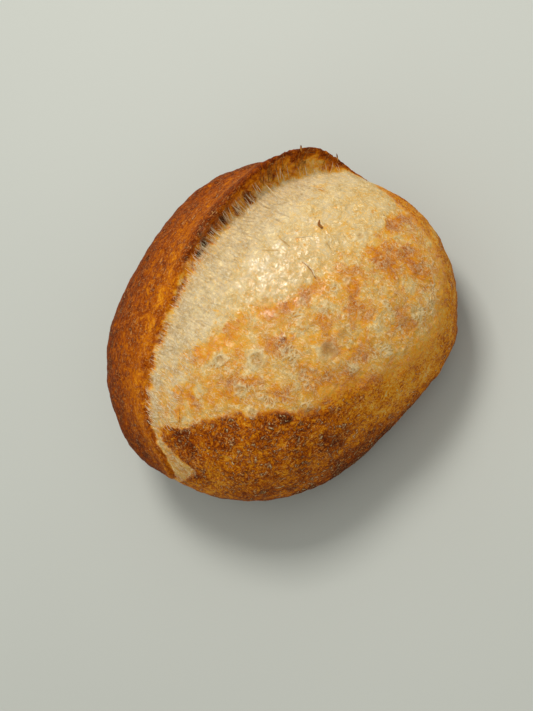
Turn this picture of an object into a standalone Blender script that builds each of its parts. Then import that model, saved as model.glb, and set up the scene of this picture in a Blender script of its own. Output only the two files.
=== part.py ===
# A small country loaf: an oval, free-form loaf with one long slash that opened in the oven.
# The crust on one side of the slash lifted into an ear, and the pale bloom swelled out beside it.
# The loaf lies along X with the ear on its +Y side, and rests on its flat base at z = 0.

import math

import bmesh
import bpy
from mathutils import Matrix, Vector, noise

MM = 0.001

# The loaf's outline, seen from above. Both sides are widest a little past the middle,
# and the ends lean to opposite sides.
LENGTH = 159 * MM
EAR_SIDE_WIDTH = 74.5 * MM
BLOOM_SIDE_WIDTH = 70 * MM
WIDEST_X = 12 * MM
PLAN_FULLNESS = 2.24
END_LEAN = -6 * MM

# Its side view.
HEIGHT = 80 * MM
WAIST_HEIGHT = 33 * MM
BELOW_WAIST = 46 * MM
TOP_X = 2 * MM
SIDE_FULLNESS = 2.2
UPPER_FULLNESS = 2.05
LOWER_FULLNESS = 2.7

# The loaf settles on the oven floor, which leaves its base flat and the rim of the base rounded.
RIM_ROUNDING = 2.6 * MM
SETTLING = 0.7 * MM

# The slash runs the whole length, on a shallow arc: (x, degrees round from the top).
# At this radius, millimetres across the slash turn into an angle.
SLASH_PATH = (
    (-79 * MM, -26.0),
    (-72 * MM, -7.0),
    (-62 * MM, 8.0),
    (-44 * MM, 15.0),
    (-18 * MM, 19.0),
    (4 * MM, 22.5),
    (30 * MM, 23.0),
    (58 * MM, 23.0),
    (72 * MM, 23.5),
    (79 * MM, 27.0),
)
SLASH_RADIUS = 66 * MM

# The ear stands low at the -X end and highest towards the +X end: (x, share of the full ear).
EAR_RISE = (
    (-79 * MM, 0.05),
    (-62 * MM, 0.14),
    (-18 * MM, 0.20),
    (4 * MM, 0.32),
    (18 * MM, 0.58),
    (40 * MM, 0.84),
    (60 * MM, 1.0),
    (68 * MM, 0.93),
    (72.5 * MM, 0.66),
    (75.5 * MM, 0.30),
    (79 * MM, 0.04),
)
EDGE_WAVE_LENGTH = 7 * MM
EDGE_WAVE_DEPTH = 0.10

# Across the slash, from the flank to the bloom, in millimetres: where a point lies while the slash
# is shut, where it lies under a full ear, and how far it stands out then. Positive is towards the bloom.
SLASH_PROFILE = (
    (-26.0, -26.0, 0.0),
    (-18.0, -17.5, 1.6),
    (-11.0, -10.5, 5.0),
    (-6.0, -5.0, 8.8),
    (-3.0, -2.0, 10.8),
    (-1.5, -0.2, 11.2),
    (-0.4, 0.6, 9.6),
    (0.8, -1.6, 5.5),
    (2.0, -3.4, 0.8),
    (3.6, -2.6, -3.0),
    (7.0, 2.5, -3.8),
    (12.0, 9.5, -3.2),
    (19.0, 18.5, -1.4),
    (28.0, 28.0, 0.0),
)

# Knuckles and hollows in the crust: (x, degrees round from the top, spread, how far it stands out).
BULGES = (
    (43 * MM, 66.0, 12 * MM, 1.2 * MM),
    (62 * MM, 64.0, 10 * MM, 0.8 * MM),
    (-77 * MM, 50.0, 11 * MM, 2.0 * MM),
    (-14 * MM, -90.0, 24 * MM, -3.2 * MM),
    (38 * MM, -104.0, 9 * MM, 2.2 * MM),
    (22 * MM, -106.0, 8 * MM, 1.6 * MM),
    (7 * MM, -98.0, 6 * MM, 1.4 * MM),
)

# Uneven rising: broad lumps over the whole crust.
LUMP_SIZE = 30 * MM
LUMP_DEPTH = 1.2 * MM

# The cage: rings along the loaf and columns round it.
RINGS = 30
COLUMNS = 46
SUBDIVISIONS = 1

CRUST_COLOUR = (0.50, 0.22, 0.05, 1.0)
CRUST_ROUGHNESS = 0.55

SMALL_TURN = math.radians(0.5)


def egg(position, widest, fullness):
    """How full the loaf is at a position along it: 1 where it is widest, 0 at either end."""
    room = LENGTH / 2 - widest if position > widest else LENGTH / 2 + widest
    share = min(1.0, abs(position - widest) / room)
    return (1.0 - share**fullness) ** (1.0 / fullness)


def read_off(table, position):
    """A value on the smooth curve through a short table of (position, value)."""
    places = [row[0] for row in table]
    values = [row[1] for row in table]
    last = len(table) - 1
    slopes = []
    for row in range(last + 1):
        before, after = max(0, row - 1), min(last, row + 1)
        slopes.append((values[after] - values[before]) / (places[after] - places[before]))
    position = min(max(position, places[0]), places[-1])
    row = max(i for i in range(last) if places[i] <= position)
    gap = places[row + 1] - places[row]
    share = (position - places[row]) / gap
    rest = 1.0 - share
    return (
        values[row] * rest * rest * (1.0 + 2.0 * share)
        + values[row + 1] * share * share * (3.0 - 2.0 * share)
        + gap * share * rest * (slopes[row] * rest - slopes[row + 1] * share)
    )


def filled_out(value, fullness):
    """A sine or cosine whose curve is squared off a little."""
    return math.copysign(abs(value) ** (2.0 / fullness), value)


def body_point(along, angle):
    """The loaf before the slash opened. Along goes from -90 to 90 degrees, from end to end,
    and angle goes round from the top, positive on the ear's side."""
    x = math.sin(along) * LENGTH / 2
    side_width = EAR_SIDE_WIDTH if math.sin(angle) > 0 else BLOOM_SIDE_WIDTH
    width = side_width * egg(x, WIDEST_X, PLAN_FULLNESS)
    tall = egg(x, TOP_X, SIDE_FULLNESS)
    if math.cos(angle) > 0:
        fullness, depth = UPPER_FULLNESS, HEIGHT - WAIST_HEIGHT
    else:
        fullness, depth = LOWER_FULLNESS, BELOW_WAIST
    y = width * filled_out(math.sin(angle), fullness) + END_LEAN * math.sin(along)
    z = WAIST_HEIGHT + depth * tall * filled_out(math.cos(angle), fullness)
    return Vector((x, y, z))


def outward(along, angle):
    """The body's outward direction there."""
    limit = math.pi / 2 - 2 * SMALL_TURN
    if abs(along) > limit:
        return Vector((math.copysign(1.0, along), 0.0, 0.0))
    lengthwise = body_point(along + SMALL_TURN, angle) - body_point(along - SMALL_TURN, angle)
    across = body_point(along, angle + SMALL_TURN) - body_point(along, angle - SMALL_TURN)
    return lengthwise.cross(across).normalized()


def relief(point):
    """How far the crust stands out at a point of the body, from its lumps and knuckles."""
    out = noise.noise(point / LUMP_SIZE) * LUMP_DEPTH
    for x, degrees, spread, height in BULGES:
        centre = body_point(math.asin(2 * x / LENGTH), math.radians(degrees))
        out += height * math.exp(-((point - centre).length_squared) / spread**2)
    return out


def column_place(column, x):
    """A column's angle round the loaf while the slash is shut, its angle under a full ear,
    and how far it stands out then."""
    slash = math.radians(read_off(SLASH_PATH, x))
    count = len(SLASH_PROFILE)
    if column < count:
        shut, opened, out = SLASH_PROFILE[column]
        return slash - shut * MM / SLASH_RADIUS, slash - opened * MM / SLASH_RADIUS, out * MM
    first = slash - SLASH_PROFILE[-1][0] * MM / SLASH_RADIUS
    last = slash - SLASH_PROFILE[0][0] * MM / SLASH_RADIUS - 2 * math.pi
    share = (column - count + 1) / (COLUMNS - count + 1)
    angle = first + (last - first) * share
    return angle, angle, 0.0


def settled(point):
    """The point once the loaf has settled: what hung below the floor is pressed up against it."""
    rounded = RIM_ROUNDING * math.log1p(math.exp(point.z / RIM_ROUNDING))
    return Vector((point.x, point.y, rounded - SETTLING))


def loaf_point(along, column):
    """A point of the cage."""
    x = math.sin(along) * LENGTH / 2
    shut, opened, out = column_place(column, x)
    wave = noise.noise(Vector((x / EDGE_WAVE_LENGTH, 0.0, 0.0)))
    rise = read_off(EAR_RISE, x) * (1.0 + EDGE_WAVE_DEPTH * wave)
    angle = shut + (opened - shut) * rise
    body = body_point(along, angle)
    return settled(body + outward(along, angle) * (out * rise + relief(body)))


def make_cage(bm):
    """A sphere with its poles along X, reshaped ring by ring."""
    bmesh.ops.create_uvsphere(bm, u_segments=COLUMNS, v_segments=RINGS, radius=1.0)
    lying = Matrix.Rotation(math.radians(90), 3, "Y")
    bmesh.ops.rotate(bm, cent=(0, 0, 0), matrix=lying, verts=bm.verts)
    for vert in bm.verts:
        along = math.asin(max(-1.0, min(1.0, vert.co.x)))
        turn = math.atan2(-vert.co.y, vert.co.z) / (2 * math.pi)
        column = round(turn * COLUMNS) % COLUMNS
        vert.co = loaf_point(along, column)
    bmesh.ops.recalc_face_normals(bm, faces=bm.faces)


def make_material():
    material = bpy.data.materials.new("loaf_crust")
    material.use_nodes = True
    shader = material.node_tree.nodes["Principled BSDF"]
    shader.inputs["Base Color"].default_value = CRUST_COLOUR
    shader.inputs["Roughness"].default_value = CRUST_ROUGHNESS
    shader.inputs["Metallic"].default_value = 0.0
    return material


def add_object(name, bm, collection):
    mesh = bpy.data.meshes.new(name)
    bm.to_mesh(mesh)
    bm.free()
    made = bpy.data.objects.new(name, mesh)
    collection.objects.link(made)
    return made


def make_oven_floor(collection):
    """A block with its top at z = 0, which leaves the loaf flat underneath."""
    bm = bmesh.new()
    bmesh.ops.create_cube(bm, size=2 * LENGTH)
    bmesh.ops.translate(bm, vec=(0, 0, -LENGTH), verts=bm.verts)
    cutter = add_object("oven_floor", bm, collection)
    cutter.hide_render = True
    cutter.display_type = "WIRE"
    return cutter


def make_loaf(collection, oven_floor):
    bm = bmesh.new()
    make_cage(bm)
    loaf = add_object("loaf", bm, collection)
    loaf.data.shade_smooth()
    loaf.data.materials.append(make_material())
    soften = loaf.modifiers.new("soften", "SUBSURF")
    soften.levels = SUBDIVISIONS
    soften.render_levels = SUBDIVISIONS
    flatten = loaf.modifiers.new("flatten", "BOOLEAN")
    flatten.operation = "DIFFERENCE"
    flatten.object = oven_floor
    return loaf


def main():
    for thing in list(bpy.data.objects):
        bpy.data.objects.remove(thing)
    parts = bpy.data.collections.new("country_loaf")
    cutters = bpy.data.collections.new("cutters")
    for collection in (parts, cutters):
        bpy.context.scene.collection.children.link(collection)
    make_loaf(parts, make_oven_floor(cutters))


main()
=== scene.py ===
# Looks for the country loaf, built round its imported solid. The slash runs along X and the ear stands on +Y.
# Sizes in the tables are in millimetres; the scene is in metres.
import math
import random
from types import SimpleNamespace

import bpy
import numpy as np
from mathutils import Matrix, Vector, noise
from mathutils.bvhtree import BVHTree
from mathutils.kdtree import KDTree


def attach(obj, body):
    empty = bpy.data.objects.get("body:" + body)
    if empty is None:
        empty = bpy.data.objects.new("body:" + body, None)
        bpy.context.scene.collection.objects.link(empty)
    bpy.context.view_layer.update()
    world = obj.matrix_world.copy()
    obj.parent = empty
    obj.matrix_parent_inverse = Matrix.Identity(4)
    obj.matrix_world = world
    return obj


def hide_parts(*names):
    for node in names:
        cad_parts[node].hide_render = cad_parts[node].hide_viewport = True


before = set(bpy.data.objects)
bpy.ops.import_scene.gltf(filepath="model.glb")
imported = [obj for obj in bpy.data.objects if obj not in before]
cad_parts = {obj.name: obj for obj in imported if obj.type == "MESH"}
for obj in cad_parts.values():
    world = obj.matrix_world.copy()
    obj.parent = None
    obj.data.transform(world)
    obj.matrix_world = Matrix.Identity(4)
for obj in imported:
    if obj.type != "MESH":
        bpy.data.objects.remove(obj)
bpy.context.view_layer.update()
mm = 0.001
noise.seed_set(7)  # otherwise noise_vector changes from run to run
print("frame loaded")


def deselectAll():
    bpy.ops.object.select_all(action="DESELECT")


def pick(piece):
    # makes this the one selected, active object
    deselectAll()
    piece.select_set(True)
    bpy.context.view_layer.objects.active = piece


def applyModifier(piece, kind, **settings):
    pick(piece)
    made = piece.modifiers.new(kind.lower(), kind)
    for name, value in settings.items():
        setattr(made, name, value)
    bpy.ops.object.modifier_apply(modifier=made.name)


def smoothStep(value, low, high):
    share = np.clip((value - low) / (high - low), 0.0, 1.0)
    return share * share * (3.0 - 2.0 * share)


def hump(value, middle, width):
    # 1 at the middle, falling away on both sides
    return np.exp(-(((value - middle) / width) ** 2))


# The camera looks down on the loaf, leaning over from the bloom's side.
view = {
    "picture": (533, 711),
    "focalPixels": 1050.0,
    "sensor": 36.0,
    "pixelsPerMm": 2.25,
    "tilt": 25.0,
    "turn": 57.8,
    "middle": (271.6, 330.6),
    "aimHeight": 35.0,
}


def addCamera():
    tilt, turn = math.radians(view["tilt"]), math.radians(view["turn"])
    lengthwise = Vector((1, 0, 0))
    across = Vector((0, math.cos(tilt), math.sin(tilt)))
    right = lengthwise * math.cos(turn) - across * math.sin(turn)
    up = lengthwise * math.sin(turn) + across * math.cos(turn)
    back = right.cross(up)
    pixel = mm / view["pixelsPerMm"]
    wide, high = view["picture"]
    aim = Vector((0, 0, view["aimHeight"] * mm))
    aim -= right * (view["middle"][0] - wide / 2) * pixel
    aim += up * (view["middle"][1] - high / 2) * pixel
    bpy.ops.object.camera_add()
    camera = bpy.context.object
    camera.name = "photoCamera"
    camera.data.sensor_width = view["sensor"]
    camera.data.lens = view["focalPixels"] * view["sensor"] / high
    camera.data.clip_start = 0.01
    placed = Matrix((right, up, back)).transposed().to_4x4()
    placed.translation = aim + back * view["focalPixels"] * pixel
    camera.matrix_world = placed
    bpy.context.scene.camera = camera


addCamera()

# The loaf's form, as the solid has it.
form = {
    "length": 159.0,
    "earSide": 74.5,
    "bloomSide": 70.0,
    "widestX": 12.0,
    "planFullness": 2.24,
    "endLean": -6.0,
    "height": 80.0,
    "waist": 33.0,
    "belowWaist": 46.0,
    "topX": 2.0,
    "sideFullness": 2.2,
    "upperFullness": 2.05,
    "lowerFullness": 2.7,
    "slashRadius": 66.0,
    "settling": 0.7,
}
# x, degrees round from the top
slashPath = [
    (-79, -26), (-72, -7), (-62, 8), (-44, 15), (-18, 19), (4, 22.5), (30, 23), (58, 23), (72, 23.5), (79, 27),
]
# x, share of the full ear
earRise = [
    (-79, 0.05), (-62, 0.14), (-18, 0.2), (4, 0.32), (18, 0.58), (40, 0.84), (60, 1), (68, 0.93), (72.5, 0.66),
    (75.5, 0.3), (79, 0.04),
]
# across the slash, from the flank to the bloom: place while shut, place when opened, height
slashProfile = np.array([
    (-26, -26, 0), (-18, -17.5, 1.6), (-11, -10.5, 5), (-6, -5, 8.8), (-3, -2, 10.8), (-1.5, -0.2, 11.2),
    (-0.4, 0.6, 9.6), (0.8, -1.6, 5.5), (2, -3.4, 0.8), (3.6, -2.6, -3), (7, 2.5, -3.8), (12, 9.5, -3.2),
    (19, 18.5, -1.4), (28, 28, 0),
])
earEdgeColumn = 5.0  # the row of the profile at the ear's edge
footColumn = 8.3  # and at the foot of the torn face
lastColumn = len(slashProfile) - 1
halfLength = form["length"] / 2


def readOff(table, x):
    # the smooth curve through a short table
    places, values = np.array(table, float).T
    before = np.maximum(np.arange(len(places)) - 1, 0)
    after = np.minimum(np.arange(len(places)) + 1, len(places) - 1)
    slopes = (values[after] - values[before]) / (places[after] - places[before])
    x = np.clip(x, places[0], places[-1])
    row = np.clip(np.searchsorted(places, x, side="right") - 1, 0, len(places) - 2)
    gap = places[row + 1] - places[row]
    share = (x - places[row]) / gap
    rest = 1 - share
    curve = values[row] * rest * rest * (1 + 2 * share) + values[row + 1] * share * share * (3 - 2 * share)
    return curve + gap * share * rest * (slopes[row] * rest - slopes[row + 1] * share)


def eggShape(x, widest, fullness):
    room = np.where(x > widest, halfLength - widest, halfLength + widest)
    share = np.minimum(1, np.abs(x - widest) / room)
    return np.maximum(1e-9, 1 - share**fullness) ** (1 / fullness)


def filledOut(value, fullness):
    return np.sign(value) * np.abs(value) ** (2 / fullness)


def bodyPoint(x, angle):
    width = np.where(np.sin(angle) > 0, form["earSide"], form["bloomSide"])
    width = width * eggShape(x, form["widestX"], form["planFullness"])
    tall = eggShape(x, form["topX"], form["sideFullness"])
    upper = np.cos(angle) > 0
    depth = np.where(upper, form["height"] - form["waist"], form["belowWaist"])
    fullness = np.where(upper, form["upperFullness"], form["lowerFullness"])
    y = width * filledOut(np.sin(angle), fullness) + form["endLean"] * x / halfLength
    z = form["waist"] + depth * tall * filledOut(np.cos(angle), fullness)
    return np.stack([x, y, z], axis=-1)


def outwardAt(x, angle):
    # the body's outward direction, from its slope over a small turn either way
    along = np.arcsin(np.clip(x / halfLength, -0.9995, 0.9995))
    step = 0.008
    before, after = (halfLength * np.sin(along + turn) for turn in (-step, step))
    lengthwise = bodyPoint(after, angle) - bodyPoint(before, angle)
    across = bodyPoint(x, angle + step) - bodyPoint(x, angle - step)
    out = np.cross(lengthwise, across)
    return out / np.linalg.norm(out, axis=-1, keepdims=True)


def slashPoint(x, column):
    # a point of the slash: up to column 5 the flank, 5 to 9 the torn face, and from 9 on the bloom
    x, column = np.broadcast_arrays(np.asarray(x, float), np.asarray(column, float))
    shut, opened, out = (np.interp(column, range(len(slashProfile)), slashProfile[:, i]) for i in range(3))
    rise = readOff(earRise, x)
    place = (shut + (opened - shut) * rise) / form["slashRadius"]
    angle = np.radians(readOff(slashPath, x)) - place
    return bodyPoint(x, angle) + outwardAt(x, angle) * (out * rise)[..., None] - (0, 0, form["settling"])


def acrossFromAngle(points):
    # millimetres round the loaf from the slash, positive over the bloom
    x, y, z = points.T
    x, z = np.clip(x, -79.4, 79.4), z + form["settling"]  # just inside both ends
    y = y - form["endLean"] * x / halfLength
    side = np.where(y > 0, form["earSide"], form["bloomSide"])
    width = side * eggShape(x, form["widestX"], form["planFullness"])
    above = np.where(z > form["waist"], form["height"] - form["waist"], form["belowWaist"])
    depth = above * eggShape(x, form["topX"], form["sideFullness"])
    angle = np.arctan2(y / width, (z - form["waist"]) / depth)
    return (np.radians(readOff(slashPath, x)) - angle) * form["slashRadius"]


# The crust: its mesh size, and how rough each part of it is.
crust = {
    "voxel": 0.75,
    "lumps": [(9.0, 0.5), (4.0, 0.3)],  # size, height
    "crinkle": (2.4, 0.34),
    "grain": (1.5, 0.16),
    "fibreRidges": (1.1, 0.5),
    "earRagged": 0.9,
    "borderWaves": [(6.5, 2.4, 51), (2.4, 2.0, 53), (1.2, 1.1, 55)],  # size, reach, seed
    "drifts": [(4.5, 3.0, 5), (1.7, 1.6, 8)],
    "slashReach": 34,
    "triangles": 186000,
    # fewer faces where it is lower than the first, and past the second in y or lower than the third
    "thinned": (36.0, -20.0, 14.0),
}
# Borders between the zones: x, millimetres from the slash.
flankEdge = [
    (-79, 7), (-74, 5), (-66, 2.6), (-60, 2.6), (-50, 2.0), (-40, 1.7), (-24, 1.5), (0, 1.2), (20, 0.5),
    (45, 0.6), (66, 0.5), (72, 0.8), (76, 2), (79, 4),
]
lowerCrustEdge = [
    (-80, 12), (-75, 22), (-70, 34), (-67.6, 34), (-66, 14), (-62, 9), (-58.5, 14), (-54.6, 26), (-47.5, 36),
    (-41.5, 42.5), (-35.5, 51.6), (-28.5, 61), (-23, 71), (-17, 77), (-7, 81), (0, 87), (7, 95), (15, 102),
    (25, 109), (34, 111), (51, 108), (59, 106), (64, 100), (70, 86), (76, 55), (80, 30),
]
# how wide that lower border is, and how dark the crust beyond it
lowerCrustFade = [(-80, 1.2), (-50, 2.0), (-30, 3.0), (-16, 7), (0, 12), (15, 14), (40, 14), (80, 9)]
lowerCrustBake = [
    (-80, 0.62), (-55, 0.68), (-30, 0.66), (-10, 0.58), (5, 0.50), (20, 0.44), (40, 0.42), (60, 0.45), (80, 0.52),
]
# where the glaze thickens: x, millimetres from the slash
glazeStart = [(-80, 4), (-60, 4), (-45, 7), (-30, 13), (-4, 25), (17, 41), (37, 48), (53, 55), (70, 62), (80, 64)]
# Golden glaze: x, y, z, radius, strength, in chains that join up
goldenChains = [
    [(-27, 3, 78, 2.6, 0.9), (-22, 0, 78.5, 2.8, 0.9), (-16, -3, 79, 2.4, 0.8), (-10, -5, 79, 2.6, 0.8),
     (-5, -7, 79, 2.2, 0.7)],
    [(-30, -17, 75.4, 2.0, 0.8), (-25, -21, 75, 2.4, 0.8), (-21, -25, 75, 2.0, 0.7)],
    [(2, -13, 79, 1.8, 0.6), (5, -17, 78.5, 2.2, 0.8), (9, -20, 78, 2.6, 0.9), (14, -23, 77, 2.4, 0.9),
     (19, -24, 76.5, 2.6, 1.0), (24, -26, 75.5, 2.2, 0.9)],
    [(-7, -21, 77.3, 2.8, 0.9), (-5, -24, 76.6, 3.0, 1.0), (-8, -26, 76.2, 2.6, 1.0), (0, -30, 75.5, 2.4, 0.8)],
    [(9, -51, 66, 2.6, 0.8), (12, -55, 63, 2.6, 0.8), (16, -51, 65, 2.4, 0.6)],
    [(47, -35, 67, 3.0, 0.9), (46, -39, 65.5, 3.4, 1.0), (46, -44, 63.6, 3.0, 0.9), (51, -40, 63, 2.8, 0.7)],
    [(62, -32, 60, 2.4, 0.9), (66, -33, 56, 2.6, 0.9), (69, -33, 53, 2.4, 0.7)],
    [(32, -56, 60, 2.4, 0.8), (31, -60, 56, 2.6, 0.8), (28, -59, 58, 2.8, 0.8)],
    [(51, -52, 55, 3.0, 0.8), (54, -47, 57, 3.4, 0.7), (55, -41, 60, 3.2, 0.7)],
    [(-42, 3, 74, 3.0, 0.8), (-43, -3, 74, 3.0, 0.9), (-46, 0, 73, 2.4, 0.6)],
    [(-49, -1, 71.4, 1.4, 0.8), (-53, -3, 69.4, 1.2, 0.7)],
    [(-20, -34, 72, 2.4, 0.8), (-19, -38, 70.4, 2.4, 0.9), (-24, -35, 71, 2.0, 0.6)],
    [(36, -30, 74, 2.8, 0.6), (33, -37, 71, 3.4, 0.8), (27, -40, 70.5, 3.0, 0.7), (23, -46, 68, 3.4, 0.8)],
    [(14, -36, 73, 3.0, 0.7), (8, -39, 72, 2.8, 0.6), (5, -45, 69.5, 2.6, 0.6)],
    [(-8, -38, 71.5, 2.6, 0.6), (-13, -44, 68.5, 2.8, 0.7), (-4, -48, 67, 3.0, 0.7), (0, -54, 63, 2.8, 0.8)],
    [(-35, -12, 75, 2.4, 0.6), (-32, -20, 74, 2.4, 0.6)],
    [(62, 2, 63, 2.0, 0.5)], [(47, -14, 72, 2.4, 0.5), (50, -20, 70.5, 2.4, 0.5)],
    [(-27, -15, 76, 2.2, 0.8)], [(-15, -12, 78, 2.2, 0.5)],
]
# Small clusters of bubbles in the skin: x, y, z, radius, strength
frothPatches = [
    (32, -34, 72, 2.6, 0.5), (27, -32, 73, 2.6, 0.8), (18, -32, 74, 3.5, 0.8), (10, -26, 77, 3, 0.6),
    (36, -46, 66, 2.2, 0.8), (33, -51, 63, 2.6, 0.8), (31, -54, 62, 2.6, 0.9), (19, -43, 70, 3, 0.5),
    (36, -61, 53, 3.9, 0.8), (56, -55, 50, 3.5, 0.7), (49, -60, 49, 3.9, 0.8), (42, -63, 49, 3.9, 0.8),
    (18, -59, 59, 3.9, 0.8), (12, -57, 61, 2.6, 0.6), (27, -60, 57, 3, 0.6), (4, -54, 64, 3, 0.9),
    (2, -48, 68, 2.2, 0.7), (6, -34, 75, 3.5, 0.6), (-19, -47, 65, 3.9, 0.8), (-4, -31, 75, 4.8, 0.8),
    (-11, -28, 75, 3.5, 0.6), (-14, -21, 77, 4.8, 0.7), (-22, -8, 78, 3.5, 0.8), (-28, -21, 75, 3.9, 0.7),
    (-33, -29, 71, 3, 0.7), (-26, -33, 72, 3.5, 0.7), (-27, -52, 57, 3, 0.6), (-12, -40, 71, 6.1, 0.5),
    (-9, -50, 64, 3.5, 0.5), (-20, -26, 75, 3.5, 0.4), (-26, -4, 78, 2.2, 0.6), (-66, 2, 60, 4, 0.6),
    (-70, -6, 56, 4, 0.6),
]
# Browner patches, thin see-through skin, and where the bloom shines: the same five numbers
darkPatches = [
    (-27, -59, 40, 9, 0.9), (-20, 30, 77, 2.6, 0.9), (-24, 27, 77, 2.2, 0.9), (-31, 22, 75, 2.6, 0.9),
    (-35, 21, 74.5, 1.8, 0.7), (-61, -11, 63, 6.1, 0.5), (-48, -19, 69, 3.8, 0.6), (-22, -55, 54, 6.1, 0.5),
    (-34, -49, 58, 6.1, 0.4), (-28, -41, 67, 2.8, 0.9), (-59, -18, 62, 5.2, 0.4),
]
windows = [(4, -43, 71, 3.4, 1.0), (13, -44, 70, 2.6, 0.7), (-20, -46, 65, 2.4, 0.6), (-67, -2, 60, 2.4, 0.5)]
glossyPatches = [(20, -8, 79, 13, 1.0), (0, -20, 78, 12, 0.5), (45, -20, 71, 12, 0.4)]
# Single blisters: x, y, z, radius, height of the dome, height of its rim
blisters = [
    (-1, -26, 77, 1.5, 0.9, 0.0), (32, -34, 72, 1.4, -0.3, 0.4), (-22, -8, 78, 2.0, -0.1, 0.45),
    (-14, -21, 77, 3.3, 0.3, 0.45), (-28, -21, 75, 2.4, 0.1, 0.4), (-33, -29, 71, 1.9, 0.2, 0.35),
    (51, -27, 68, 2.1, 0.0, 0.35), (56, -26, 66, 1.3, 0.5, 0.0), (-28, -41, 67, 2.8, 0.9, 0.0),
    (4, -54, 64, 1.9, 0.6, 0.2), (2, -48, 68, 1.4, 0.4, 0.2), (15, -24, 77, 1.6, 0.0, 0.35),
    (8, -11, 79, 2.5, 0.3, 0.25), (4, -43, 71, 3.4, -0.4, 0.2),
]


def chainShare(points, chains):
    # how strongly each point lies near the chains of blobs, 0 to 1
    share = np.zeros(len(points))
    for chain in chains:
        for start, end in zip(chain, chain[1:] or chain):
            start, end = np.array(start, float), np.array(end, float)
            along = end[:3] - start[:3]
            part = np.clip((points - start[:3]) @ along / max(along @ along, 1e-9), 0, 1)
            nearest = start + (end - start) * part[:, None]
            away = np.linalg.norm(points - nearest[:, :3], axis=1) / nearest[:, 3]
            share = np.maximum(share, nearest[:, 4] * np.exp(-((away / 1.25) ** 3)))
    return share


def spotsAt(points, spots):
    share = np.zeros(len(points))
    for x, y, z, radius, strength in spots:
        away = np.linalg.norm(points - (x, y, z), axis=1) / radius
        share = 1 - (1 - share) * (1 - strength * np.exp(-(away**3)))
    return share


def noiseAt(points, size, seed=0.0):
    shift = Vector((seed, seed * 1.7, -seed))
    return np.array([noise.noise(Vector(p) / size + shift) for p in points])


def driftAt(points, size, reach, seed=0.0):
    # every point moved a little, so that what is laid out on them has uneven edges
    shift = Vector((-seed, seed, seed * 1.3))
    return points + np.array([noise.noise_vector(Vector(p) / size + shift) for p in points]) * reach


def readCoords(mesh):
    flat = np.empty(len(mesh.vertices) * 3)
    mesh.vertices.foreach_get("co", flat)
    return flat.reshape(-1, 3) / mm


def readNormals(mesh):
    flat = np.empty(len(mesh.vertices) * 3)
    mesh.vertex_normals.foreach_get("vector", flat)
    return flat.reshape(-1, 3)


def writeCoords(mesh, points):
    mesh.vertices.foreach_set("co", (points * mm).ravel())
    mesh.update()


def storeMap(mesh, name, values, kind="FLOAT"):
    made = mesh.attributes.new(name, kind, "POINT")
    field = "value" if kind == "FLOAT" else "vector"
    made.data.foreach_set(field, np.ascontiguousarray(values, float).ravel())


def startCrust():
    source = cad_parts["loaf"]
    piece = bpy.data.objects.new("loafCrust", source.data.copy())
    piece.data.materials.clear()
    bpy.context.scene.collection.objects.link(piece)
    pick(piece)
    bpy.ops.object.mode_set(mode="EDIT")
    bpy.ops.mesh.select_all(action="SELECT")
    bpy.ops.mesh.remove_doubles(threshold=0.00001)
    bpy.ops.mesh.tris_convert_to_quads()
    bpy.ops.mesh.select_all(action="DESELECT")
    bpy.ops.mesh.select_mode(type="VERT")
    bpy.ops.object.mode_set(mode="OBJECT")
    for corner in piece.data.vertices:
        corner.select = corner.co.z < 0.00001
    bpy.ops.object.mode_set(mode="EDIT")
    bpy.ops.transform.edge_crease(value=1)  # the base keeps its flat rim
    bpy.ops.object.mode_set(mode="OBJECT")
    applyModifier(piece, "SUBSURF", levels=1, render_levels=1)
    applyModifier(piece, "REMESH", mode="VOXEL", voxel_size=crust["voxel"] * mm)
    applyModifier(piece, "SMOOTH", factor=0.4, iterations=1)
    return piece


def findColumns(points):
    # which column of the slash each point lies on, and its millimetres across the closed slash
    across = acrossFromAngle(points)
    column = np.where(across < 0, 0.0, float(lastColumn))
    stations = halfLength * np.sin(np.radians(np.linspace(-89, 89, 400)))
    columns = np.linspace(0, lastColumn, 66)
    samples = slashPoint(stations[:, None], columns[None, :]).reshape(-1, 3)
    tree = KDTree(len(samples))
    for i, sample in enumerate(samples):
        tree.insert(sample, i)
    tree.balance()
    for i in np.where(np.abs(across) < crust["slashReach"])[0]:
        _, nearest, _ = tree.find(points[i])
        found = columns[nearest % len(columns)]
        if 0 < found < lastColumn:
            column[i] = found
            across[i] = np.interp(found, range(len(slashProfile)), slashProfile[:, 0])
    return column, across


def thinLowSides(piece):
    # fewer faces underneath and on the far side, where the small relief shows least
    group = piece.vertex_groups.new(name="lowSides")
    places = readCoords(piece.data)
    below, farSide, underneath = crust["thinned"]
    low = (places[:, 2] < below) & ((places[:, 1] > farSide) | (places[:, 2] < underneath))
    group.add([int(i) for i in np.where(low)[0]], 1.0, "REPLACE")
    ratio = crust["triangles"] / (2 * len(piece.data.polygons))
    applyModifier(piece, "DECIMATE", ratio=min(1, ratio), vertex_group=group.name)
    piece.vertex_groups.clear()


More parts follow.
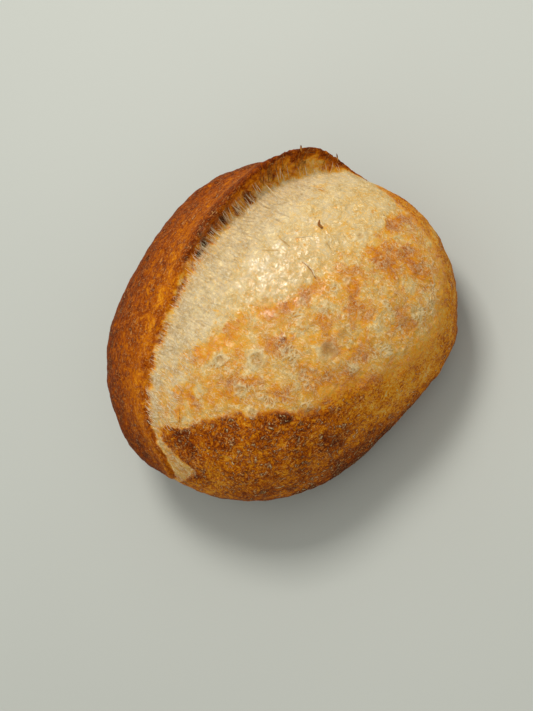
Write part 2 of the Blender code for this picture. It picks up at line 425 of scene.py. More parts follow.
def findZones(points):
    # how much of each point belongs to the flank, the lower crust, the bloom, the torn face and the base
    x, _, z = points.T
    column, across = findColumns(points)
    broken = sum(noiseAt(points, size, seed) * reach for size, reach, seed in crust["borderWaves"])
    drifted = points
    for size, reach, seed in crust["drifts"]:
        drifted = driftAt(drifted, size, reach, seed)
    lowEar = 1 - smoothStep(x, 8, 30)
    pastFlank = across - readOff(flankEdge, x) + (0.4 + 0.5 * lowEar) * broken
    onFlank = 1 - smoothStep(pastFlank, -0.8 - 0.5 * lowEar, 0.8 + 0.9 * lowEar)
    fade = readOff(lowerCrustFade, x)
    pastLower = (across - readOff(lowerCrustEdge, x) + broken * 1.2) / fade
    lowerCrust = (1 - onFlank) * smoothStep(pastLower, -1, 1)
    onBloom = (1 - onFlank) * (1 - lowerCrust)
    onTorn = (1 - smoothStep(across, 4.5, 9)) * smoothStep(across, -1.2, 0.4)
    # hollows in the foot of the torn face, shallower at the ear's end
    holes = smoothStep(noiseAt(np.stack([x / 4.5, column * 0.5, 0 * x], axis=1), 1.0, 33.0), 0.0, 0.3)
    return SimpleNamespace(
        column=column, across=across, rise=readOff(earRise, x), broken=broken, drifted=drifted,
        pastFlank=pastFlank, onFlank=onFlank, fade=fade, pastLower=pastLower, lowerCrust=lowerCrust,
        onBloom=onBloom, onTorn=onTorn, onBase=1 - smoothStep(z, 0.3, 1.6),
        fibreReach=np.maximum(onTorn, 0.75 * onBloom * (1 - smoothStep(across, 6, 26))),
        hollows=(holes, hump(column, footColumn, 0.9)),
    )


def reliefAt(points, at):
    # how far each point stands out of the solid
    x = points[:, 0]
    out = np.zeros(len(points))
    for i, (size, height) in enumerate(crust["lumps"]):
        out += noiseAt(points, size, 3.0 + i) * height * (1 - 0.6 * at.onTorn)
    crinkleSize, crinkleHeight = crust["crinkle"]
    creases = 0.5 - np.abs(noiseAt(at.drifted, crinkleSize, 9.0)) * 2.4
    out += creases * crinkleHeight * (at.onBloom * 0.8 + at.lowerCrust * 0.6 + at.onFlank * 0.35)
    grainSize, grainHeight = crust["grain"]
    out += noiseAt(points, grainSize, 14.0) * grainHeight

    # torn fibres run straight across the slash, and fade out over the bloom
    fibreSize, fibreHeight = crust["fibreRidges"]
    combed = np.stack([x / fibreSize + at.across * 0.12, at.across / 7.0, at.column * 0.15], axis=1)
    out += noiseAt(combed, 1.0, 21.0) * fibreHeight * at.fibreReach
    holes, foot = at.hollows
    out -= holes * foot * (0.6 + 1.6 * at.rise) * (1 - 0.7 * smoothStep(x, 56, 68))

    # the ear's edge is ragged
    ragged = noiseAt(np.stack([x, 0 * x, 0 * x], axis=1), 1.7, 41.0)
    ragged += 0.7 * noiseAt(points, 1.0, 47.0)
    out += hump(at.column, earEdgeColumn, 1.0) * ragged * crust["earRagged"] * (0.4 + 0.6 * at.rise)

    for bx, by, bz, radius, dome, rim in blisters:
        away = np.linalg.norm(points - (bx, by, bz), axis=1) / radius
        out += dome * np.sqrt(np.clip(1 - away**2, 0, 1)) + rim * hump(away, 1, 0.28)
    return out * (1 - at.onBase)


def glazeAt(points, at):
    # golden patches with crisp uneven edges, thicker away from the tear
    start = readOff(glazeStart, points[:, 0])
    bias = -0.45 + 0.65 * smoothStep(at.across, start - 9, start + 9)
    golden = chainShare(at.drifted, goldenChains)
    glaze = bias + 0.75 * golden + 0.62 * noiseAt(at.drifted, 5.0, 61.0) + 0.3 * noiseAt(at.drifted, 1.8, 62.0)
    nearLower = 1 - smoothStep(-at.pastLower * at.fade, 0, 7 + 3 * at.broken)
    return golden, np.maximum(smoothStep(glaze, -0.30, 0.36), 0.95 * nearLower)


# How far each place is baked, 0 pale crumb and 1 nearly burnt; the hollow amount and the near-base part of lowerCrust
# are painted shade.
bakingAndShade = {
    "bloom": (0.05, 0.10, 0.05),  # beside the slash, added away from it, and uneven
    "glaze": (0.23, 0.06),  # everywhere, and added towards either end
    "goldenPatch": 0.18,
    "fringe": 0.30,  # the torn border beside the low ear
    "lowerCrust": (0.40, 0.22, 0.10),  # painted shade added near the base where the side turns under, uneven, and added along its left edge
    "leftEnd": 0.12,
    "flank": (0.72, 0.14, 0.12),  # all over, added low down, and taken off along the low ear
    "innerFace": (0.40, 0.18, 0.3),  # the torn face, less at its end, and uneven
    "hollow": (0.36, 0.2),  # painted shade in the hollows at the torn face's foot, less at the ear's end
    "earEdge": (0.17, 0.60),  # on its crust side and on its torn side
    "darkPatch": 0.16,
    "dome": 0.22,
}


def bakeCrust(points, at):
    # every map that the crust's material reads
    x, _, z = points.T
    column, across, rise, broken, drifted = at.column, at.across, at.rise, at.broken, at.drifted
    onFlank, onBloom = at.onFlank, at.onBloom
    golden, glaze = glazeAt(points, at)
    near, far, uneven = bakingAndShade["bloom"]
    bakeAndShade = onBloom * (near + far * smoothStep(across, 8, 40) + uneven * noiseAt(points, 7.0, 63.0))
    everywhere, ends = bakingAndShade["glaze"]
    glazed = glaze * (everywhere + ends * smoothStep(x, 20, 60) + ends * smoothStep(-x, 15, 45))
    bakeAndShade += onBloom * (glazed + golden * bakingAndShade["goldenPatch"])

    # the torn border beside the low ear, widest at x 14
    fringeReach = 2.2 + 3.6 * hump(x, 14, 16)
    fringe = 1 - smoothStep(at.pastFlank - 0.6 * broken, 0.5, 2 * fringeReach)
    fringe = fringe * (1 - smoothStep(x, 24, 40)) * smoothStep(x, -70, -50)
    fringe *= 0.55 + 0.45 * smoothStep(noiseAt(drifted, 3.4, 73.0), -0.15, 0.2)
    bakeAndShade += onBloom * fringe * bakingAndShade["fringe"]

    shadeNearBase, uneven, leftEdge = bakingAndShade["lowerCrust"]
    # the near-base term is painted shade where the lower side turns under, over the lower crust's own browning
    lowBake = readOff(lowerCrustBake, x) + shadeNearBase * (1 - smoothStep(z, 8, 42)) + uneven * noiseAt(drifted, 9.0, 67.0)
    lowBake += leftEdge * hump(x, -52, 18) * (1 - smoothStep(at.pastLower, 4, 16))
    bakeAndShade += at.lowerCrust * lowBake + bakingAndShade["leftEnd"] * onBloom * (1 - smoothStep(x, -68, -58))
    base, lowDown, lighter = bakingAndShade["flank"]
    glow = hump(across, -5.5, 4.0) * (1 - smoothStep(x, 8, 40))
    bakeAndShade += onFlank * (base + lowDown * smoothStep(-across, 12, 46) - lighter * glow)

    # the torn face under the ear, painted shade in its hollows, and the dark ear edge
    base, lessAtEnd, uneven = bakingAndShade["innerFace"]
    innerFace = smoothStep(column, 5.2, 6.2) * (1 - smoothStep(across + 0.9 * broken, 2.4, 5.6))
    faceBake = base - lessAtEnd * smoothStep(x, 58, 70) + uneven * noiseAt(drifted, 2.2, 71.0)
    bakeAndShade += innerFace * smoothStep(rise, 0.1, 0.6) * (onFlank * -0.1 + (1 - onFlank) * faceBake)
    # painted shade: darker where the foot of the torn face is hollowed out
    holes, foot = at.hollows
    base, lessAtEnd = bakingAndShade["hollow"]
    bakeAndShade += (base - lessAtEnd * smoothStep(x, 56, 68)) * holes * foot * smoothStep(x, -60, 0)
    edgeDark = smoothStep(across + 0.6 * broken, -9.5, -4.5) * (1 - smoothStep(column + 0.3 * broken, 5.8, 7.2))
    edgeDark *= smoothStep(x + 1.5 * broken, -4, 12) * (1 - 0.6 * smoothStep(x, 74, 79))
    crustSide, tornSide = bakingAndShade["earEdge"]
    bakeAndShade += edgeDark * (crustSide * onFlank + tornSide * (1 - onFlank) * (1 - 0.45 * innerFace))
    bakeAndShade += bakingAndShade["darkPatch"] * spotsAt(drifted, darkPatches)

    ringLine, ringFloor = np.zeros(len(points)), np.zeros(len(points))
    unround = driftAt(points, 2.2, 0.9, 11)
    for bx, by, bz, radius, dome, rim in blisters:
        away = np.linalg.norm(unround - (bx, by, bz), axis=1) / radius
        ringLine = np.maximum(ringLine, min(1, rim * 2.4) * hump(away, 1, 0.2))
        ringFloor = np.maximum(ringFloor, (0.8 if dome < 0.4 else 0.0) * (1 - smoothStep(away, 0.6, 0.95)))
        bakeAndShade += (bakingAndShade["dome"] if rim == 0 else 0.0) * np.exp(-((away / 1.1) ** 4))
    pale = onBloom**2 * (1 - 0.3 * glaze - 0.55 * golden) * (1 - 0.85 * innerFace * rise) * (1 - 0.5 * fringe)
    shine = onBloom * (0.35 + 0.65 * spotsAt(points, glossyPatches)) * (1 - at.onTorn)
    return {
        "ringLine": ringLine,
        "ringFloor": ringFloor,
        "bakeAndShade": bakeAndShade,
        "pale": pale * (1 - edgeDark),
        "onSkin": onBloom * (1 - 0.8 * innerFace * rise) * (1 - 0.5 * at.onTorn),
        "fibre": at.fibreReach * (1 - onFlank * 0.6),
        "froth": onBloom * spotsAt(drifted, frothPatches),
        "window": spotsAt(points, windows),
        "flour": at.lowerCrust * 0.9 + onFlank * 0.55 + at.onBase * 0.4,
        "gloss": shine + at.lowerCrust * 0.04 + onFlank * 0.03,
    }


def shapeCrust(piece):
    mesh = piece.data
    points = readCoords(mesh)
    at = findZones(points)
    points += readNormals(mesh) * reliefAt(points, at)[:, None]
    points[:, 2] = np.maximum(points[:, 2], 0.0)
    writeCoords(mesh, points)
    for name, values in bakeCrust(points, at).items():
        storeMap(mesh, name, np.clip(values, 0, 1))
    storeMap(mesh, "slashMap", np.stack([points[:, 0], at.across, at.column], axis=1), "FLOAT_VECTOR")


# Small tools for the materials.
def newMaterial(name):
    material = bpy.data.materials.new(name)
    material.use_nodes = True
    return material, material.node_tree, material.node_tree.nodes["Principled BSDF"]


def plug(tree, socket, value):
    if isinstance(value, bpy.types.NodeSocket):
        tree.links.new(value, socket)
    else:
        socket.default_value = value


def addNode(tree, kind, settings, plugs):
    made = tree.nodes.new(kind)
    for name, value in settings.items():
        setattr(made, name, value)
    for name, value in plugs.items():
        plug(tree, made.inputs[name], value)
    return made


def calc(tree, operation, first, second=0.0, clamp=False):
    made = addNode(tree, "ShaderNodeMath", {"operation": operation, "use_clamp": clamp}, {0: first, 1: second})
    return made.outputs[0]


def product(tree, first, second, clamp=False):
    return calc(tree, "MULTIPLY", first, second, clamp)


def total(tree, *shares):
    # the sum of (value, weight) pairs
    made = None
    for value, weight in shares:
        made = addNode(
            tree, "ShaderNodeMath", {"operation": "MULTIPLY_ADD"},
            {0: value, 1: weight, 2: made if made is not None else 0.0},
        ).outputs[0]
    return made


def mapAttribute(tree, name, output="Fac"):
    return addNode(tree, "ShaderNodeAttribute", {"attribute_name": name}, {}).outputs[output]


def noiseNode(tree, vector, size, detail=2.0, roughness=0.5):
    return addNode(
        tree, "ShaderNodeTexNoise", {},
        {"Vector": vector, "Scale": 1.0 / size, "Detail": detail, "Roughness": roughness},
    )


def stretched(tree, vector, scale, turn=0.0):
    # Mapping scales before it turns, so the turn comes first in a node of its own
    if turn:
        rotate = {"rotation_type": "Z_AXIS"}
        vector = addNode(tree, "ShaderNodeVectorRotate", rotate, {"Vector": vector, "Angle": turn}).outputs[0]
    return addNode(tree, "ShaderNodeMapping", {}, {"Vector": vector, "Scale": scale}).outputs[0]


def cellEdges(tree, vector, scale):
    # how far each place is from the border of its cell
    cells = addNode(
        tree, "ShaderNodeTexVoronoi", {"feature": "DISTANCE_TO_EDGE"}, {"Vector": vector, "Scale": scale},
    )
    return cells.outputs["Distance"]


def nudged(tree, vector, push, scale):
    made = addNode(tree, "ShaderNodeVectorMath", {"operation": "MULTIPLY_ADD"}, {0: push, 1: scale, 2: vector})
    return made.outputs[0]


def band(tree, value, low, high):
    # 0 below low, 1 above high, smooth between; the other way round when low is the larger
    made = addNode(
        tree, "ShaderNodeMapRange", {"interpolation_type": "SMOOTHSTEP"},
        {"Value": value, "From Min": min(low, high), "From Max": max(low, high),
         "To Min": 0.0 if low < high else 1.0, "To Max": 1.0 if low < high else 0.0},
    )
    return made.outputs["Result"]


def colourRamp(tree, value, stops):
    made = addNode(tree, "ShaderNodeValToRGB", {}, {"Fac": value})
    ramp = made.color_ramp
    while len(ramp.elements) < len(stops):
        ramp.elements.new(0.5)
    for element, (place, colour) in zip(ramp.elements, stops):
        element.position = place
        element.color = (*colour, 1)
    return made.outputs["Color"]


def mixColour(tree, share, under, over, blend="MIX"):
    made = addNode(tree, "ShaderNodeMix", {"data_type": "RGBA", "blend_type": blend}, {0: share})
    for socket, value in ((made.inputs[6], under), (made.inputs[7], over)):
        plug(tree, socket, value if isinstance(value, bpy.types.NodeSocket) else (*value, 1))
    return made.outputs[2]


def paintOver(tree, under, share, strength, over):
    return mixColour(tree, product(tree, share, strength), under, over)


def linear(red, green, blue):
    # a colour as picked on screen, 0 to 255
    return tuple(((v / 255 + 0.055) / 1.055) ** 2.4 if v > 10 else v / 255 / 12.92 for v in (red, green, blue))


crustColours = {
    "stops": [
        (0.00, linear(226, 202, 158)),
        (0.12, linear(224, 188, 124)),
        (0.25, linear(228, 174, 78)),
        (0.38, linear(230, 156, 36)),
        (0.50, linear(216, 130, 10)),
        (0.62, linear(186, 98, 3)),
        (0.74, linear(154, 70, 1)),
        (0.86, linear(114, 44, 1)),
        (1.00, linear(80, 27, 1)),
    ],
    "netting": linear(244, 220, 166),
    "gap": linear(190, 130, 44),
    "frothHollow": linear(180, 132, 62),
    "frothRim": linear(232, 204, 150),
    # pale flecks, partly flour and partly painted glints
    "fleckAndGlint": linear(238, 186, 112),
    "window": linear(172, 136, 84),
    "mottle": (0.45, 0.6, 0.5),  # broad, middle and fine
    "bumpHeight": 0.6,
    "coatBumpHeight": 0.22,
    "roughness": 0.7,
    "specular": 0.04,
    "coatRoughness": 0.12,
    "coatIor": 1.62,
}


def crustMaterial():
    material, tree, shader = newMaterial("bakedCrust")
    place = addNode(tree, "ShaderNodeTexCoord", {}, {}).outputs["Object"]
    inMm = stretched(tree, place, (1000, 1000, 1000))
    drift = noiseNode(tree, inMm, 5.0, 3.0).outputs["Color"]
    moved = nudged(tree, inMm, drift, (7, 7, 7))
    broad = noiseNode(tree, moved, 6.5, 4.0, 0.6).outputs["Fac"]
    middle = noiseNode(tree, moved, 2.0, 4.0, 0.65).outputs["Fac"]
    fine = noiseNode(tree, moved, 0.75, 3.0, 0.65).outputs["Fac"]
    finest = noiseNode(tree, inMm, 0.4, 2.0, 0.6).outputs["Fac"]

    # browning together with painted shade in hollows and near the base
    bakeAndShade = mapAttribute(tree, "bakeAndShade")
    pale = mapAttribute(tree, "pale")
    fibre = mapAttribute(tree, "fibre")
    flour = mapAttribute(tree, "flour")
    onSkin = mapAttribute(tree, "onSkin")
    froth = mapAttribute(tree, "froth")
    # the brown crust is the more mottled
    lively = total(tree, (calc(tree, "POWER", flour, 2.0), 1.6), (1.0, 1.0))
    shifted = [calc(tree, "SUBTRACT", part, 0.5) for part in (broad, middle, fine)]
    shifted[1:] = [product(tree, part, lively) for part in shifted[1:]]
    level = total(tree, (bakeAndShade, 1.0), *zip(shifted, crustColours["mottle"]))
    colour = colourRamp(tree, level, crustColours["stops"])

    # a pale netting of thin skin over the glaze, drawn out across the slash near it
    slashMap = mapAttribute(tree, "slashMap", "Vector")
    sway = nudged(tree, slashMap, drift, (5, 4, 0))
    longStreaks = noiseNode(tree, stretched(tree, sway, (2.2, 0.30, 0.2)), 1.0, 3.0, 0.6).outputs["Fac"]
    shortStreaks = noiseNode(tree, stretched(tree, sway, (1.9, 0.55, 0.2)), 1.0, 3.0, 0.6).outputs["Fac"]
    curls = noiseNode(tree, nudged(tree, inMm, drift, (12, 12, 12)), 2.1, 1.0).outputs["Fac"]
    smallCurls = noiseNode(tree, nudged(tree, inMm, drift, (9, 7, 12)), 1.25, 1.0).outputs["Fac"]
    wrinkles, smallWrinkles = [
        band(tree, calc(tree, "ABSOLUTE", calc(tree, "SUBTRACT", part, 0.5)), width, 0.015)
        for part, width in ((curls, 0.05), (smallCurls, 0.075))
    ]
    netting = band(tree, cellEdges(tree, nudged(tree, inMm, drift, (9, 9, 9)), 0.62), 0.16, 0.03)
    combed = product(tree, longStreaks, fibre)
    skin = total(
        tree, (shortStreaks, 1.3), (middle, 0.7), (fine, 0.6), (netting, 0.06), (wrinkles, 0.1),
        (combed, 1.0), (fibre, -0.46), (froth, 0.06),
    )
    skinShare = product(tree, band(tree, skin, 1.38, 1.52), pale)
    colour = paintOver(tree, colour, skinShare, 0.75, crustColours["netting"])
    bothCurls = total(tree, (wrinkles, 0.6), (smallWrinkles, 0.6))
    curlShare = product(tree, product(tree, bothCurls, band(tree, broad, 0.40, 0.58)), onSkin, clamp=True)
    colour = paintOver(tree, colour, curlShare, 0.5, crustColours["netting"])
    gaps = product(tree, band(tree, skin, 1.16, 1.0), onSkin)
    colour = paintOver(tree, colour, gaps, 0.5, crustColours["gap"])

    # clusters of bubbles: pale rims round darker hollows
    bubbles = cellEdges(tree, moved, 0.6)
    frothShare = band(tree, total(tree, (froth, 1.0), (shifted[1], 1.5)), 0.25, 0.65)
    hollow = product(tree, band(tree, bubbles, 0.14, 0.3), frothShare)
    rims = product(tree, band(tree, bubbles, 0.18, 0.07), frothShare)
    for share, strength, over in (
        (hollow, 0.5, "frothHollow"), (rims, 0.8, "frothRim"), (mapAttribute(tree, "ringFloor"), 0.5, "frothHollow"),
        (mapAttribute(tree, "ringLine"), 0.6, "netting"), (mapAttribute(tree, "window"), 0.6, "window"),
    ):
        colour = paintOver(tree, colour, share, strength, crustColours[over])

    # pale flecks of flour and blistered skin, partly painted glints where the skin would catch the light; the tiny
    # round grains are painted glints
    streaky = noiseNode(tree, stretched(tree, slashMap, (0.34, 1.35, 1)), 1.0, 3.0, 0.65).outputs["Fac"]
    slanted = stretched(tree, inMm, (0.75, 1.5, 1.5), math.radians(58))
    dashes = noiseNode(tree, slanted, 1.0, 3.0, 0.7).outputs["Fac"]
    # painted glints: tiny pale dots standing in for specular sparkle
    glintCells = addNode(tree, "ShaderNodeTexVoronoi", {}, {"Vector": inMm, "Scale": 0.8}).outputs
    paintedGlints = product(tree, band(tree, glintCells["Distance"], 0.30, 0.12), band(tree, glintCells["Color"], 0.5, 0.62))
    patchy = band(tree, broad, 0.34, 0.62)
    marks = total(tree, (band(tree, streaky, 0.57, 0.67), 0.8), (band(tree, dashes, 0.57, 0.67), 1.0), (paintedGlints, 1.0))
    fleckAndGlintShare = product(tree, product(tree, marks, patchy), flour, clamp=True)
    colour = paintOver(tree, colour, fleckAndGlintShare, 0.7, crustColours["fleckAndGlint"])

    # painted shade in crevices and painted light on ridges, from the relief noise
    relief = total(tree, (middle, 0.3), (fine, 0.38), (finest, 0.32))
    shade = addNode(
        tree, "ShaderNodeMapRange", {},
        {"Value": relief, "From Min": 0.36, "From Max": 0.64, "To Min": 0.72, "To Max": 1.28},
    ).outputs[0]
    paintedLightAndShade = addNode(tree, "ShaderNodeCombineXYZ", {}, {0: shade, 1: shade, 2: shade}).outputs[0]
    colour = mixColour(tree, 0.8, colour, paintedLightAndShade, "MULTIPLY")
    tree.links.new(colour, shader.inputs["Base Color"])

    gloss = mapAttribute(tree, "gloss")
    coat = product(tree, gloss, band(tree, total(tree, (middle, 0.6), (fine, 0.4)), 0.38, 0.56), clamp=True)
    tree.links.new(coat, shader.inputs["Coat Weight"])
    shader.inputs["Coat Roughness"].default_value = crustColours["coatRoughness"]
    shader.inputs["Coat IOR"].default_value = crustColours["coatIor"]
    shader.inputs["Roughness"].default_value = crustColours["roughness"]
    shader.inputs["Specular IOR Level"].default_value = crustColours["specular"]

    uneven = [(middle, 0.45), (fine, 0.42), (finest, 0.16)]
    height = total(
        tree, *uneven, (combed, 0.7), (skinShare, 0.10), (curlShare, 0.28), (fleckAndGlintShare, 0.08), (rims, 0.2),
        (hollow, -0.15),
    )
    coatHeight = total(tree, *uneven, (curlShare, 0.3), (combed, 0.4))
    for socket, heights, reach in (("Normal", height, "bumpHeight"), ("Coat Normal", coatHeight, "coatBumpHeight")):
        bump = addNode(
            tree, "ShaderNodeBump", {},
            {"Height": heights, "Strength": 1.0, "Distance": crustColours[reach] * mm},
        )
        tree.links.new(bump.outputs[0], shader.inputs[socket])
    return material


loafCrust = startCrust()
print("crust remeshed:", len(loafCrust.data.polygons), "faces")
thinLowSides(loafCrust)
shapeCrust(loafCrust)
loafCrust.data.shade_smooth()
loafCrust.data.materials.append(crustMaterial())
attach(loafCrust, "root")
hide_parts("loaf")
print("crust shaped:", sum(len(p.vertices) - 2 for p in loafCrust.data.polygons), "triangles")

# Thin strands: single marks laid where the photograph shows them, and scattered torn fibres.
strands = {
    "rings": 6,
    "sides": 4,
    "lean": (-0.14, 0.22),  # middle and spread, per millimetre of length
    "curl": 0.12,
    "freeLift": 0.9,  # a mark lifted more than this stands off the crust
    # width, lift, then the places it runs through
    "paleMarks": [
        (0.32, 0.2, [(-4, 16, 78), (-5, 6, 79), (-6, -4, 79)]),
        (0.8, 0.3, [(39, 25, 70), (37.5, 23, 71), (36, 21, 71)]),
        (0.36, 1.0, [(51, 24, 69), (49.5, 19, 69), (48, 14, 68)]),
        (0.5, 0.1, [(29.6, -15, 77), (28.7, -20, 76), (26.6, -24, 76)]),
        (0.3, 0.1, [(36, -3, 77), (38, -8, 76), (41, -12, 75)]),
    ],
    "brownMarks": [
        (1.3, 0.4, [(48, -9, 72), (46.4, -10, 73), (46, -12, 73), (45.4, -13, 73)]),
        (0.42, 0.0, [(29, -15, 77), (28, -20, 76), (26, -24, 76)]),
        (0.36, 0.0, [(-48, 0, 72), (-51, -2, 70), (-54, -3, 69)]),
        (0.6, 0.1, [(-14, 35, 76), (-14.5, 35, 76)]),
        (0.6, 0.1, [(65, -27, 60), (64.5, -27, 60)]),
        (0.6, 0.1, [(61, -56, 35), (60.5, -56, 35)]),
        (1.5, 1.2, [(70.2, 17.3, 67.8), (71.3, 17.9, 68.4), (72.4, 18.4, 69.1)]),
        (0.7, 1.0, [(77.0, 8.4, 51.3), (78.3, 9.3, 52.2), (79.6, 10.2, 53.2)]),
    ],
    # crease lines, coloured darker as painted shade in the folds
    "creases": [
        (0.8, -0.05, [(34, 2, 76), (33, -2, 77), (32, -7, 77)]),
        (0.8, -0.05, [(25, 4, 77), (26.5, 0, 77), (29, -5, 77)]),
        (0.7, -0.05, [(44, -15, 73), (40, -19, 73), (38, -25, 72)]),
    ],
    # how many, where along the loaf, and from where to where across the slash; a hair's "to" is its length
    "bridges": {
        "count": 70, "x": (14, 76), "from": (0.6, 2.8), "to": (3.6, 7.0), "width": (0.14, 0.34),
        "sag": 0.5, "onSurface": False, "toIsLength": False,
    },
    "lowBridges": {
        "count": 240, "x": (-62, 20), "from": (0.2, 3.6), "to": (4.0, 12.0), "width": (0.10, 0.26),
        "sag": -0.5, "onSurface": True, "toIsLength": False,
    },
    "hairs": {
        "count": 700, "x": (-58, 64), "from": (3.0, 17.0), "to": (3.0, 8.5), "width": (0.10, 0.28),
        "sag": -0.35, "onSurface": True, "toIsLength": True,
    },
    "splinters": {
        "count": 170, "x": (-4, 73), "from": (-2.2, -0.6), "to": (0.8, 2.6), "width": (0.16, 0.42),
        "sag": -0.4, "onSurface": False, "toIsLength": False,
    },
}


def modelStrand():
    # one straight strand, along Z from 0 to 1
    deselectAll()
    bpy.ops.mesh.primitive_cylinder_add(vertices=strands["sides"], radius=0.5, depth=1, location=(0, 0, 0.5))
    spans = strands["rings"] - 1
    piece = bpy.context.object
    bpy.ops.object.transform_apply(location=True, rotation=True, scale=True)
    bpy.ops.object.mode_set(mode="EDIT")
    for cut in range(1, spans):
        bpy.ops.mesh.select_all(action="SELECT")
        bpy.ops.mesh.bisect(plane_co=(0, 0, cut / spans), plane_no=(0, 0, 1))
    bpy.ops.object.mode_set(mode="OBJECT")
    corners = np.array([v.co for v in piece.data.vertices])
    faces = [list(p.vertices) for p in piece.data.polygons]
    bpy.data.objects.remove(piece)
    return corners, faces


def bendStrand(corners, path, width, normal):
    # lays the straight strand along a path of points, thinning to both ends
    place = corners[:, 2] * (len(path) - 1)
    low = np.minimum(place.astype(int), len(path) - 2)
    share = (place - low)[:, None]
    middle = path[low] * (1 - share) + path[low + 1] * share
    tangent = path[low + 1] - path[low]
    tangent /= np.linalg.norm(tangent, axis=1, keepdims=True) + 1e-9
    side = np.cross(tangent, normal)
    side /= np.linalg.norm(side, axis=1, keepdims=True) + 1e-9
    upright = np.cross(side, tangent)
    taper = (0.25 + 0.75 * np.sin(np.pi * corners[:, 2]) ** 0.6)[:, None]
    # a strand is flatter than it is wide
    return middle + side * corners[:, :1] * width * taper + upright * corners[:, 1:2] * width * 0.6 * taper


def crustPoint(x, across):
    # a place on the loaf, by x and by its millimetres across the closed slash
    if across < slashProfile[-1, 0]:
        return slashPoint(x, np.interp(across, slashProfile[:, 0], range(len(slashProfile))))
    return bodyPoint(x, math.radians(float(readOff(slashPath, x))) - across / form["slashRadius"])


def strandPath(plan, dice, surface):
    x = dice.uniform(*plan["x"])
    start = dice.uniform(*plan["from"])
    end = dice.uniform(*plan["to"])
    if plan["toIsLength"]:
        end = start + end * (1.0 - 0.02 * start)
    lean = dice.gauss(*strands["lean"]) * abs(end - start)
    first, last = crustPoint(x, start), crustPoint(x + lean, end)
    curl = dice.gauss(0, strands["curl"]) * abs(end - start)
    lift = plan["sag"] * dice.uniform(0.3, 1.5)
    path, up = [], None
    for ring in range(strands["rings"]):
        share = ring / (strands["rings"] - 1)
        point = np.array(first) * (1 - share) + np.array(last) * share
        point[0] += curl * math.sin(share * math.pi)
        found, normal, _, _ = surface.find_nearest(Vector(point))
        up = np.array(normal)
        if plan["onSurface"] or share in (0, 1):
            point = np.array(found) + up * (0.05 - lift * math.sin(share * math.pi))
        else:
            point = point - np.array((0, 0, lift * math.sin(share * math.pi)))
        path.append(point)
    return np.array(path), up


def markPath(places, lift, surface):
    # a path laid on the crust, or standing off it where the lift is large
    places, shares = np.array(places, float), np.linspace(0, 1, len(places))
    path, up = [], None
    for share in np.linspace(0, 1, strands["rings"]):
        point = np.array([np.interp(share, shares, places[:, i]) for i in range(3)])
        found, normal, _, _ = surface.find_nearest(Vector(point))
        up = np.array(normal)
        path.append(point if lift > strands["freeLift"] else np.array(found) + up * lift)
    return np.array(path), up


def layStrands(name, kinds, marks, surface, material, seed):
    dice = random.Random(seed)
    corners, faces = modelStrand()
    laid = []
    for kind in kinds:
        plan = strands[kind]
        for _ in range(plan["count"]):
            path, up = strandPath(plan, dice, surface)
            laid.append((path, up, dice.uniform(*plan["width"])))
    for width, lift, places in strands[marks]:
        laid.append((*markPath(places, lift, surface), width))
    allCorners, allFaces, offset = [], [], 0
    for path, up, width in laid:
        allCorners.append(bendStrand(corners, path, width, up))
        allFaces.extend([[offset + v for v in face] for face in faces])
        offset += len(corners)
    mesh = bpy.data.meshes.new(name)
    mesh.from_pydata(np.concatenate(allCorners) * mm, [], allFaces)
    piece = bpy.data.objects.new(name, mesh)
    bpy.context.scene.collection.objects.link(piece)
    pick(piece)
    bpy.ops.object.mode_set(mode="EDIT")
    bpy.ops.mesh.select_all(action="SELECT")
    bpy.ops.mesh.normals_make_consistent(inside=False)
    bpy.ops.object.mode_set(mode="OBJECT")
    mesh.shade_smooth()
    mesh.materials.append(material)
    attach(piece, "root")
    return piece


def strandMaterial(name, low, high, roughness):
    material, tree, shader = newMaterial(name)
    place = addNode(tree, "ShaderNodeTexCoord", {}, {}).outputs["Object"]
    varied = noiseNode(tree, stretched(tree, place, (1000, 1000, 1000)), 1.3, 2.0).outputs["Fac"]
    tree.links.new(colourRamp(tree, varied, [(0.35, low), (0.62, high)]), shader.inputs["Base Color"])
    shader.inputs["Roughness"].default_value = roughness
    shader.inputs["Specular IOR Level"].default_value = 0.2
    return material


def crustTree():
    mesh = loafCrust.data
    corners = [Vector(p) for p in readCoords(mesh)]
    return BVHTree.FromPolygons(corners, [list(p.vertices) for p in mesh.polygons])


surface = crustTree()
paleStrand = strandMaterial("paleStrand", linear(216, 182, 124), linear(248, 234, 200), 0.6)
brownStrand = strandMaterial("brownStrand", linear(104, 50, 10), linear(196, 132, 52), 0.65)
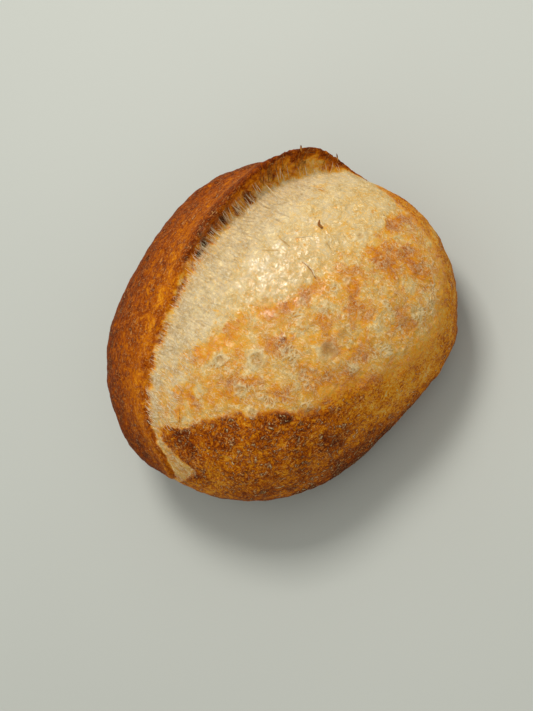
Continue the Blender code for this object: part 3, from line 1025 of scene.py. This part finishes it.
# a darker tan for the creases: painted shade in the folds
creaseShade = strandMaterial("creaseShade", linear(190, 148, 84), linear(212, 174, 108), 0.7)
layStrands("tornStrands", ["bridges", "lowBridges", "hairs"], "paleMarks", surface, paleStrand, 7)
layStrands("earSplinters", ["splinters"], "brownMarks", surface, brownStrand, 11)
layStrands("skinCreases", [], "creases", surface, creaseShade, 13)
print("strands laid")

# The floor, and soft studio light from over the ear's side.
studio = {
    "floorSize": 4.0,
    "floorHeight": -0.0001,
    "floorRoughness": 0.75,
    "floorColour": linear(196, 198, 190),
    "keyDirection": (0.34, 0.32, 0.88),
    "keyDistance": 0.95,
    "keySize": 0.28,
    "keyPower": 5.0,
    "keyColour": (1.0, 0.98, 0.95),
    "skyColour": (0.93, 0.95, 0.92),
    "skyStrength": 0.58,
}


def addFloor():
    deselectAll()
    place = (0, 0, studio["floorHeight"])
    bpy.ops.mesh.primitive_grid_add(x_subdivisions=8, y_subdivisions=8, size=studio["floorSize"], location=place)
    floor = bpy.context.object
    floor.name = "studioFloor"
    material, tree, shader = newMaterial("paleFloor")
    onFloor = addNode(tree, "ShaderNodeTexCoord", {}, {}).outputs["Object"]
    cloudy = noiseNode(tree, onFloor, 0.25, 2.0).outputs["Fac"]
    dark = tuple(v * 0.97 for v in studio["floorColour"])
    tree.links.new(colourRamp(tree, cloudy, [(0.3, dark), (0.7, studio["floorColour"])]), shader.inputs["Base Color"])
    shader.inputs["Roughness"].default_value = studio["floorRoughness"]
    floor.data.materials.append(material)


def addLights():
    direction = Vector(studio["keyDirection"]).normalized()
    bpy.ops.object.light_add(type="AREA", location=direction * studio["keyDistance"])
    key = bpy.context.object
    key.name = "keyLight"
    key.rotation_euler = direction.to_track_quat("Z", "Y").to_euler()
    key.data.energy = studio["keyPower"]
    key.data.size = studio["keySize"]
    key.data.color = studio["keyColour"]
    world = bpy.data.worlds.new("studioSky")
    world.use_nodes = True
    sky = world.node_tree.nodes["Background"]
    sky.inputs["Color"].default_value = (*studio["skyColour"], 1)
    sky.inputs["Strength"].default_value = studio["skyStrength"]
    bpy.context.scene.world = world


addFloor()
addLights()
bpy.context.scene.view_settings.view_transform = "Standard"
print("floor and lights set")
